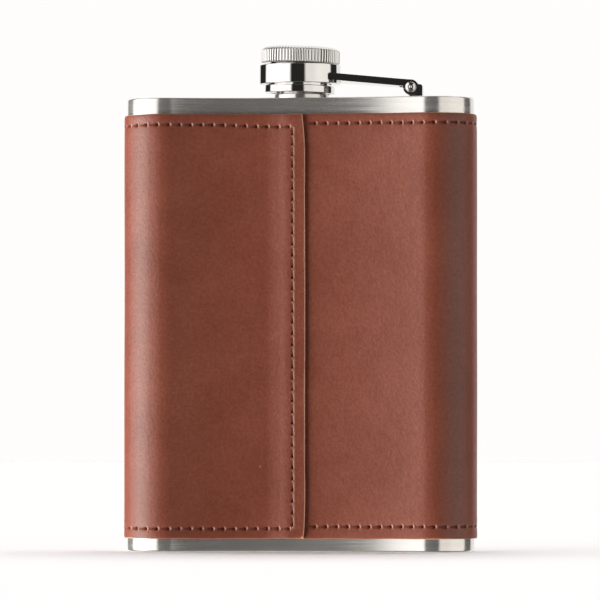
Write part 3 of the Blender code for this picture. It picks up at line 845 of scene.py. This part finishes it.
def drift(s, v):
    """How far the real height is from the grid's: hand-cut edges and sewn lines that wander a little."""
    top = 0.42 * MM - 0.28 * MM * smoothstep(0.10 * GIRTH, 0.5 * GIRTH, s)
    top = top - 0.60 * MM * smoothstep(SEAM_S - 30 * MM, SEAM_S, s)
    bottom = 0.26 * MM - 0.62 * MM * smoothstep(0.25 * GIRTH, 0.8 * GIRTH, s)
    wander = 0.05 * MM * np.sin(s / (7.3 * MM)) + 0.04 * MM * np.sin(s / (3.1 * MM) + 1.0)
    shift = (top + wander) * hat(v, TOP_LINE, STITCH_INSET, 7 * MM)
    shift += (bottom - wander) * hat(v, BOTTOM_LINE, 7 * MM, STITCH_INSET)
    edge = 0.07 * MM * np.sin(s / (9.7 * MM) + 0.4) + 0.04 * MM * np.sin(s / (2.3 * MM))
    at_top = smoothstep(WRAP_TOP - 2 * MM, WRAP_TOP, v)
    at_bottom = 1 - smoothstep(WRAP_BOTTOM, WRAP_BOTTOM + 2 * MM, v)
    return shift + edge * (at_top - at_bottom)


def lap_shift(s, v):
    """The lap's cut edge runs straight, but draws back a little at both ends."""
    pull = 0.8 * MM * np.exp(-(WRAP_TOP - v) / (4.5 * MM)) + 0.5 * MM * np.exp(-(v - WRAP_BOTTOM) / (3 * MM))
    wave = 0.05 * MM * np.sin(v / (8.1 * MM)) + 0.03 * MM * np.sin(v / (2.9 * MM) + 2.0)
    return (wave - pull) * smoothstep(SEAM_S + 0.6 * MM, LAP_EDGE, s)


def stitch_relief(along, across, pitch, count, width, furrow):
    """(height change, painted shade, painted highlight) round a row of stitches, which starts at along = 0
    and counts by 1.

    Each has a bed for the thread from the near hole to the far one, then a ridge that the pull puckers up.
    Shade is painted into the holes and the bed, and a highlight onto the ridge.
    """
    inside = (along > -0.02) & (along < count)
    phase = np.mod(along, 1.0)
    row = np.floor(along)
    deep = 1.0 + 0.22 * np.sin(row * 2.4) + 0.12 * np.sin(row * 5.3 + 1.0)
    bed = smoothstep(0.02, 0.22, phase) * (1 - smoothstep(0.66, 0.80, phase)) * bell(across, width)
    hole = bell((phase - HOLE_PHASE) * pitch, 0.46 * MM) * bell(across, 1.15 * width)
    near = bell((phase - NEAR_PHASE) * pitch, 0.20 * MM) * bell(across, 0.75 * width)
    ridge = bell((phase - RIDGE_PHASE) * pitch, 0.25 * MM) * bell(across - 0.08 * MM, 1.6 * width)
    sunk = (HOLE_DEPTH * hole + BED_DEPTH * bed) * deep + NEAR_DEPTH * near + furrow * bell(across, 0.85 * MM)
    height = RIDGE_HEIGHT * ridge - sunk
    # Painted shade in the holes and the thread bed, taken off on the ridge; then a painted highlight on the
    # ridge.
    stitch_shade = np.clip(0.34 * bed + 1.9 * hole + 0.25 * near - 1.1 * ridge, 0.0, 1.0)
    ridge_highlight = 0.46 * ridge * (0.75 + 0.25 * np.sin(row * 3.1))
    return height * inside, stitch_shade * inside, ridge_highlight * inside


def lap_rise(s):
    """How far the top layer stands off: over the hidden edge, then a little more towards the seam."""
    return (LAP_LIFT * smoothstep(LIFT_START, LIFT_END, s)
            + LAP_SWELL * smoothstep(SEAM_S - 4.0 * MM, SEAM_S - 0.3 * MM, s))


def rounded(gap, reach, least):
    """The leather's share of its full thickness at a distance from a cut edge, and least at the edge."""
    curve = np.sqrt(np.clip(1 - (1 - np.clip(gap / reach, 0, 1)) ** 2, 0, 1))
    return least + (1 - least) * curve


def leather_face(s, v):
    """(offset from the steel, painted shade, raw edge and painted highlight) of the outer face. The first
    mask paints shade into the stitch holes and thread beds; the second shows raw leather at cut edges and
    paints highlights on the ridges beside the stitches.
    """
    base = lap_rise(s) + WRAP_IN
    top_gap = WRAP_TOP - v
    low_gap = v - WRAP_BOTTOM
    thick = (WRAP_OUT - WRAP_IN) * rounded(top_gap, 1.3 * MM, 0.42) * rounded(low_gap, 0.7 * MM, 0.50)
    swell = (0.035 * MM * np.sin(s / (11 * MM) + v / (29 * MM))
             + 0.025 * MM * np.sin(v / (9 * MM) - s / (17 * MM)))
    swell = swell * smoothstep(0, 8 * MM, top_gap) * smoothstep(0, 8 * MM, low_gap)
    offset = base + thick + swell
    stitch_shade = np.zeros(np.shape(offset))
    raw_edge_and_highlight = np.zeros(np.shape(offset))
    line_along = (s - LINE_START) / LINE_PITCH
    for line in (TOP_LINE, BOTTOM_LINE):
        height, dark, ridge_highlight = stitch_relief(line_along, v - line, LINE_PITCH, LINE_COUNT, ROW_BED, ROW_FURROW)
        offset += height
        # Painted shade in the holes and beds, and a painted highlight on each ridge.
        stitch_shade = np.maximum(stitch_shade, dark)
        raw_edge_and_highlight = np.maximum(raw_edge_and_highlight, ridge_highlight)
    seam_along = (TOP_LINE - v) / SEAM_PITCH
    height, dark, ridge_highlight = stitch_relief(seam_along, s - SEAM_S, SEAM_PITCH, SEAM_COUNT, SEAM_BED, SEAM_FURROW)
    on_seam = s > LIFT_START
    offset += height * on_seam
    # Painted shade and a weaker painted highlight at the seam's stitches.
    stitch_shade = np.maximum(stitch_shade, dark * on_seam)
    raw_edge_and_highlight = np.maximum(raw_edge_and_highlight, 0.5 * ridge_highlight * on_seam)
    between = (v < TOP_LINE) & (v > BOTTOM_LINE) & on_seam
    offset += 0.07 * MM * bell(s - SEAM_S - 0.55 * MM, 0.28 * MM) * between
    flap = smoothstep(LAP_EDGE - 0.25 * MM, LAP_EDGE, s)
    offset -= 0.10 * MM * flap ** 2
    offset = np.maximum(offset, base + 0.05 * MM)
    # A painted highlight on the raised ridge beside the seam.
    raw_edge_and_highlight = np.maximum(raw_edge_and_highlight, 0.20 * bell(s - SEAM_S - 0.50 * MM, 0.20 * MM) * between)
    raw_edge_and_highlight = np.maximum(raw_edge_and_highlight, 0.85 * smoothstep(LAP_EDGE - 0.30 * MM, LAP_EDGE - 0.10 * MM, s))
    raw_edge_and_highlight = np.maximum(raw_edge_and_highlight, bell(s - LAP_EDGE + 0.30 * MM, 0.45 * MM) * bell(low_gap, 0.55 * MM))
    raw_edge_and_highlight = np.maximum(raw_edge_and_highlight, 0.35 * (1 - smoothstep(0.0, 0.18 * MM, top_gap)))
    raw_edge_and_highlight = np.maximum(raw_edge_and_highlight, 0.35 * (1 - smoothstep(0.0, 0.20 * MM, low_gap)))
    return offset, stitch_shade, raw_edge_and_highlight


class Sheet:
    """Collects grids of points and the strips that join them into one closed skin."""

    def __init__(self):
        self.points = []
        self.layers = []
        self.faces = []
        self.count = 0

    def grid(self, s, v, outer):
        columns, rows = np.meshgrid(s, v, indexing="ij")
        if outer:
            offset, stitch_shade, raw_edge_and_highlight = leather_face(columns, rows)
        else:
            offset = WRAP_IN + lap_rise(columns)
            stitch_shade = np.zeros(offset.shape)
            raw_edge_and_highlight = np.full(offset.shape, 0.5)
        places = on_body(columns + lap_shift(columns, rows), offset, rows + drift(columns, rows))
        index = np.arange(columns.size).reshape(columns.shape) + self.count
        self.points.append(places.reshape(-1, 3))
        self.layers.append(np.stack([stitch_shade.ravel(), raw_edge_and_highlight.ravel()], -1))
        self.count += columns.size
        quads = np.stack([index[:-1, :-1], index[1:, :-1], index[1:, 1:], index[:-1, 1:]], -1)
        self.faces += quads.reshape(-1, 4).tolist()
        return index

    def strip(self, first, first_at, second, second_at):
        """Triangles between two rows of points that are spaced differently."""
        i = 0
        j = 0
        while i < len(first) - 1 or j < len(second) - 1:
            take_first = j == len(second) - 1
            if i < len(first) - 1 and not take_first:
                take_first = first_at[i + 1] <= second_at[j + 1]
            if take_first:
                self.faces.append((int(first[i]), int(first[i + 1]), int(second[j])))
                i += 1
            else:
                self.faces.append((int(first[i]), int(second[j + 1]), int(second[j])))
                j += 1


def merged(*lists, closest):
    """One rising list of places, leaving out any that is too close to the one before."""
    kept = []
    for value in sorted(float(v) for group in lists for v in group):
        if not kept or value - kept[-1] >= closest:
            kept.append(value)
    return kept


STITCH_PHASES = (0.0, 0.08, 0.16, 0.30, 0.46, 0.60, 0.66, 0.72, 0.78, 0.83, 0.88, 0.94)


def leather_cover():
    sheet = Sheet()
    near = np.array([-1.1, -0.75, -0.5, -0.36, -0.24, -0.12, 0.0, 0.12, 0.24, 0.36, 0.5, 0.75, 1.1]) * MM
    edge_in = np.array([0.0, 0.05, 0.12, 0.22, 0.38, 0.62, 0.95, 1.35]) * MM
    top_rows = merged(TOP_LINE + near, WRAP_TOP - edge_in, [TOP_LINE - 2.0 * MM], closest=0.03 * MM)
    low_rows = merged(BOTTOM_LINE + near, WRAP_BOTTOM + edge_in, [BOTTOM_LINE + 2.0 * MM], closest=0.03 * MM)
    mid_rows = list(np.linspace(low_rows[-1] + 1.5 * MM, top_rows[0] - 1.5 * MM, 34))
    hidden = list(np.linspace(HIDDEN_EDGE, LINE_START - 0.4 * MM, 12))
    beats = [LINE_START + (n + p) * LINE_PITCH for n in range(LINE_COUNT) for p in STITCH_PHASES]
    split = max(b for b in beats if b < LIFT_START and abs(((b - LINE_START) / LINE_PITCH) % 1.0) < 1e-6)
    fine = merged(hidden, [b for b in beats if b <= split + 1e-9], closest=0.05 * MM)
    coarse = fine[::4]
    if coarse[-1] != fine[-1]:
        coarse.append(fine[-1])
    lap_near = SEAM_S + near
    lap_edge = LAP_EDGE - np.array([0.0, 0.04, 0.10, 0.18, 0.28, 0.45, 0.8, 1.3]) * MM
    lap = merged([b for b in beats if split - 1e-9 <= b < SEAM_S - 1.2 * MM], lap_near, lap_edge,
                 np.linspace(SEAM_S + 1.4 * MM, LAP_EDGE - 1.4 * MM, 3), closest=0.035 * MM)
    lap[-1] = LAP_EDGE
    seam_rows = [TOP_LINE - (n + p) * SEAM_PITCH for n in range(SEAM_COUNT) for p in STITCH_PHASES]
    seam_rows = [z for z in seam_rows if low_rows[-1] < z < top_rows[0]]
    lap_rows = merged(low_rows, seam_rows, top_rows, closest=0.06 * MM)
    top = sheet.grid(fine, top_rows, True)
    middle = sheet.grid(coarse, mid_rows, True)
    low = sheet.grid(fine, low_rows, True)
    flap = sheet.grid(lap, lap_rows, True)
    sheet.strip(top[:, 0], fine, middle[:, -1], coarse)
    sheet.strip(middle[:, 0], coarse, low[:, -1], fine)
    side = list(low[-1]) + list(middle[-1]) + list(top[-1])
    sheet.strip(side, low_rows + mid_rows + top_rows, flap[0], lap_rows)
    inner_s = merged(coarse[::3], [coarse[-1]], lap[::8], [LAP_EDGE], closest=0.2 * MM)
    inner_s[-1] = LAP_EDGE
    inner_rows = list(np.linspace(WRAP_BOTTOM, WRAP_TOP, 6))
    inner = sheet.grid(inner_s, inner_rows, False)
    outer_s = fine + lap
    sheet.strip(list(top[:, -1]) + list(flap[:, -1]), outer_s, inner[:, -1], inner_s)
    sheet.strip(list(low[:, 0]) + list(flap[:, 0]), outer_s, inner[:, 0], inner_s)
    start = list(low[0]) + list(middle[0]) + list(top[0])
    sheet.strip(start, low_rows + mid_rows + top_rows, inner[0], inner_rows)
    sheet.strip(flap[-1], lap_rows, inner[-1], inner_rows)
    points = np.concatenate(sheet.points)
    layers = np.concatenate(sheet.layers)
    obj = object_from("leather_cover", points, sheet.faces, 55.0)
    # Per-point masks: painted shade in the stitch holes and beds, and raw cut edges with painted highlights
    # on the stitch ridges.
    for name, values in zip(("stitch_shade", "raw_edge_and_highlight"), layers.T):
        layer = obj.data.attributes.new(name, "FLOAT", "POINT")
        layer.data.foreach_set("value", values.astype(np.float32))
    dress(obj, LEATHER, "flask", "leather_wrap")


def row_of_stitches(name, node, starts, pitch, direction):
    """Separate sunk stitches of two-ply thread. starts gives (s, v) where each stitch starts."""
    steps = 14
    sides = 6
    share = np.linspace(0.03, 0.76, steps)
    points = []
    faces = []
    for n, (s0, v0) in enumerate(starts):
        s = s0 + direction[0] * share * pitch
        v = v0 + direction[1] * share * pitch
        slack = 0.012 * MM * math.sin(n * 1.7)
        dive = smoothstep(0.20, 0.03, share) + smoothstep(0.48, 0.72, share)
        resting = WRAP_OUT + lap_rise(s) - THREAD_SUNK - BED_DEPTH * 0.45
        offset = resting + slack - THREAD_DIVE * dive ** 1.5
        line = on_body(s, offset, v + drift(s, v))
        _, aways = around(s)
        normals = np.concatenate([aways, np.zeros((steps, 1))], -1)
        tangents = np.gradient(line, axis=0)
        tangents /= np.linalg.norm(tangents, axis=1)[:, None]
        side = np.cross(tangents, normals)
        side /= np.linalg.norm(side, axis=1)[:, None]
        up = np.cross(side, tangents)
        for ply in (0, 1):
            turn = share * PLY_TWIST + ply * math.pi + n
            core = line + (side * np.cos(turn)[:, None] + up * np.sin(turn)[:, None]) * THREAD_R * 0.48
            first = len(points)
            for k in range(steps):
                thick = THREAD_R * 0.62 * (0.55 if k in (0, steps - 1) else 1.0)
                for m in range(sides):
                    a = 2 * math.pi * m / sides
                    points.append(core[k] + (side[k] * math.cos(a) + up[k] * math.sin(a)) * thick)
            for k in range(steps - 1):
                for m in range(sides):
                    j = (m + 1) % sides
                    faces.append((first + k * sides + m, first + k * sides + j,
                                  first + (k + 1) * sides + j, first + (k + 1) * sides + m))
            faces.append([first + m for m in range(sides)])
            faces.append([first + (steps - 1) * sides + m for m in reversed(range(sides))])
    obj = object_from(name, points, faces, 80.0)
    dress(obj, THREAD, "flask", node)


def sewing():
    for name, node, line in (("sewn_top_row", "top_stitching", TOP_LINE),
                             ("sewn_bottom_row", "bottom_stitching", BOTTOM_LINE)):
        starts = [(LINE_START + n * LINE_PITCH, line) for n in range(LINE_COUNT)]
        row_of_stitches(name, node, starts, LINE_PITCH, (1.0, 0.0))
    starts = [(SEAM_S, TOP_LINE - n * SEAM_PITCH) for n in range(SEAM_COUNT)]
    row_of_stitches("sewn_seam", "seam_stitching", starts, SEAM_PITCH, (0.0, -1.0))


# -------------------- studio and camera

def studio_world():
    """Soft boxes and dark flats round the object; the camera itself sees plain near-white."""
    world = bpy.data.worlds.new("studio")
    world.use_nodes = True
    bpy.context.scene.world = world
    world.node_tree.nodes.clear()
    sky = Nodes(world.node_tree)

    def by_bearing(stops):
        return sky.ramp(bearing, [((degrees + 180.0) / 360.0, colour) for degrees, colour in stops])

    def by_ray(plain, mirrored):
        """One value for light that falls on a matt face, another for what a mirror shows."""
        return sky.range(light_path.outputs["Is Glossy Ray"], 0.0, 1.0, plain, mirrored)

    def scaled(colour, amount):
        made = sky.node("ShaderNodeVectorMath", operation="SCALE")
        sky.feed(made.inputs["Vector"], colour)
        sky.feed(made.inputs["Scale"], amount)
        return made.outputs["Vector"]

    def background(colour, strength=1.0):
        made = sky.node("ShaderNodeBackground")
        sky.feed(made.inputs["Color"], colour)
        sky.feed(made.inputs["Strength"], strength)
        return made.outputs[0]

    light_path = sky.node("ShaderNodeLightPath")
    split = sky.node("ShaderNodeSeparateXYZ")
    sky.feed(split.inputs[0], sky.node("ShaderNodeTexCoord").outputs["Generated"])
    x, y, z = split.outputs
    angle = sky.math("ARCTAN2", x, sky.math("MULTIPLY", y, -1.0))
    turned = sky.math("SUBTRACT", sky.math("DIVIDE", angle, 2 * math.pi), CAMERA_YAW / 360.0 - 0.5)
    bearing = sky.math("FRACT", turned)
    bands = by_bearing([(-180, BRIGHT), (-158, BRIGHT), (-152, DARK), (-117, DARK), (-111, BOX_EDGE),
                        (-31, BOX_EDGE), (-25, DARK), (11, DARK), (17, WARM), (94, WARM), (99, DARK),
                        (126, DARK), (131, BRIGHT), (180, BRIGHT)])
    key = by_bearing([(-180, BLACK), (-105, BLACK), (-98, WHITE), (-60, WHITE), (-50, BLACK),
                      (38, BLACK), (50, KEY_FILL), (94, KEY_FILL), (102, BLACK), (180, BLACK)])
    low = sky.range(z, -0.80, -0.70)
    high = sky.range(z, 0.34, 0.14)
    dome = sky.range(z, 0.66, 0.80)
    behind = sky.range(y, -0.15, 0.25)
    ground = sky.range(z, -0.45, -0.60)
    key = sky.math("MULTIPLY", key, sky.math("MULTIPLY", low, high))
    key_light = sky.math("MULTIPLY", key, by_ray(KEY_STRENGTH, KEY_IN_MIRRORS))
    back_panel = scaled(PANEL, by_ray(PANEL_STRENGTH, PANEL_IN_MIRRORS))
    overhead = sky.mix(behind, OVERHEAD, back_panel)
    sides = scaled(sky.mix(ground, bands, GROUND), by_ray(ROOM_OFF_MIRRORS, 1.0))
    both = sky.node("ShaderNodeAddShader")
    sky.feed(both.inputs[0], background(sky.mix(dome, sides, overhead)))
    sky.feed(both.inputs[1], background(KEY_COLOUR, key_light))
    choose = sky.node("ShaderNodeMixShader")
    sky.feed(choose.inputs[0], light_path.outputs["Is Camera Ray"])
    sky.feed(choose.inputs[1], both.outputs[0])
    sky.feed(choose.inputs[2], background(BACKDROP))
    sky.feed(sky.node("ShaderNodeOutputWorld").inputs["Surface"], choose.outputs[0])


def studio_floor():
    """A plain floor just under the flask, in the backdrop's tone, which casts and reflects nothing."""
    mesh = bpy.data.meshes.new("pale_floor")
    reach = 3.0
    corners = [(-reach, -reach, 0), (reach, -reach, 0), (reach, reach, 0), (-reach, reach, 0)]
    mesh.from_pydata(corners, [], [(0, 1, 2, 3)])
    floor = placed("pale_floor", mesh)
    floor.location.z = -0.02 * MM
    paint = Painter("pale_floor")
    tone = paint.noise(paint.coords(), 3.0)
    colour = paint.ramp(tone, [(0.3, (0.795, 0.784, 0.792)), (0.7, (0.805, 0.794, 0.802))])
    mesh.materials.append(paint.finish(colour, 0.9, Specular_IOR_Level=0.1))
    floor.visible_glossy = False
    floor.visible_diffuse = False
    floor.visible_shadow = False


def studio_camera():
    yaw = math.radians(CAMERA_YAW)
    right = Vector((math.cos(yaw), math.sin(yaw), 0.0))
    back = Vector((math.sin(yaw), -math.cos(yaw), 0.0))
    target = right * FRAME_CENTRE[0] + Vector((0, 0, FRAME_CENTRE[1]))
    data = bpy.data.cameras.new("camera")
    data.lens = data.sensor_width * CAMERA_DISTANCE / FRAME_WIDTH
    camera = placed("camera", data)
    camera.location = target + back * CAMERA_DISTANCE
    camera.location.z = CAMERA_HEIGHT
    camera.rotation_mode = "QUATERNION"
    camera.rotation_quaternion = (target - camera.location).to_track_quat("-Z", "Y")
    bpy.context.scene.camera = camera
    bpy.context.scene.view_settings.view_transform = "Standard"


# -------------------- build

STEEL_SIDE = steel_material("steel_brushed_round", (8.0, 640.0, 1.0), "UV")
STEEL_PLATE = steel_material("steel_brushed_plate", (8.0, 640.0, 640.0))
STEEL_TURNED = steel_material("steel_turned", (60.0, 60.0, 700.0))
CHROME = chrome_material()
LEATHER = leather_material()
THREAD = thread_material()
SILICONE = silicone_material()

for make in (steel_shell, screw_neck, knurled_head, threaded_barrel, retaining_ring, sealing_disc,
             captive_collar, hinged_arm, hinge_lug, riveted_pin, leather_cover, sewing):
    make()
carry_over("top_plate", STEEL_PLATE)
carry_over("bottom_plate", STEEL_PLATE)
carry_over("wrap_adhesive", adhesive_material())
studio_world()
studio_floor()
studio_camera()
